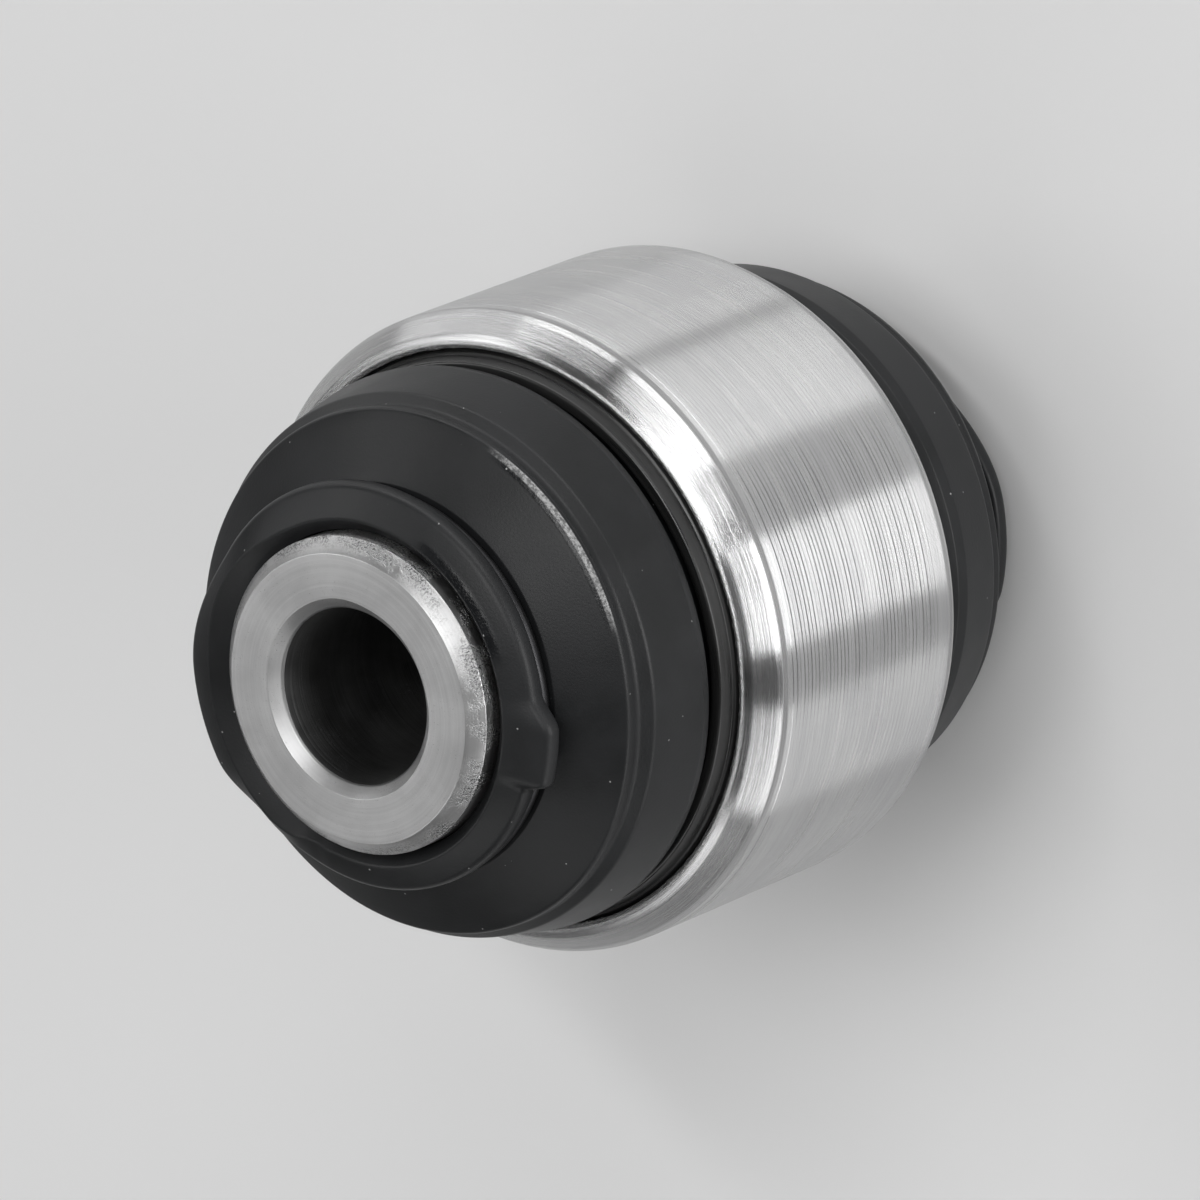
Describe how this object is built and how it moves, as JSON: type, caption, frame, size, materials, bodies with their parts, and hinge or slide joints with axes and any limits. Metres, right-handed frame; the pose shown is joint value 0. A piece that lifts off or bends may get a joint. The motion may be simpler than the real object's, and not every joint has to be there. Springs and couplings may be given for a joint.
{
  "type": "ball joint bush",
  "caption": "Steel ball joint bush: a bored ball sleeve turns and leans in a rolled outer sleeve, sealed by a rubber boot at each end.",
  "frame": {"origin": "centre of the lower end face of the ball sleeve, on the surface that the bush stands on", "axes": "+Z along the bolt bore, from the lower end face to the end face seen in the picture; the narrow lug on the front boot's collar points along +X"},
  "size_m": [0.045, 0.045, 0.056],
  "materials": {
    "turned_steel": "fine turned, matt",
    "sleeve_steel": "turned, bright",
    "seat_plastic": "moulded, matt",
    "black_steel": "satin black",
    "boot_rubber": "satin moulded",
    "spring_wire": "dark drawn wire"
  },
  "bodies": {
    "inner": {"ball_sleeve": "turned_steel"},
    "boots": {"front_boot": "boot_rubber", "rear_boot": "boot_rubber", "front_clamp_ring": "spring_wire", "rear_clamp_ring": "spring_wire"},
    "housing": {"outer_sleeve": "sleeve_steel", "front_ball_seat": "seat_plastic", "rear_ball_seat": "seat_plastic", "front_closing_ring": "black_steel", "rear_closing_ring": "black_steel"}
  },
  "joints": [
    {"name": "sleeve_turn", "type": "hinge", "parent": "inner", "child": "boots", "pos_m": [0, 0, 0.028], "axis": [0, 0, 1], "continuous": true},
    {"name": "sleeve_lean", "type": "hinge", "parent": "boots", "child": "housing", "pos_m": [0, 0, 0.028], "axis": [1, 0, 0], "range_deg": [-12, 12], "deforming": ["front_boot", "rear_boot"]}
  ]
}
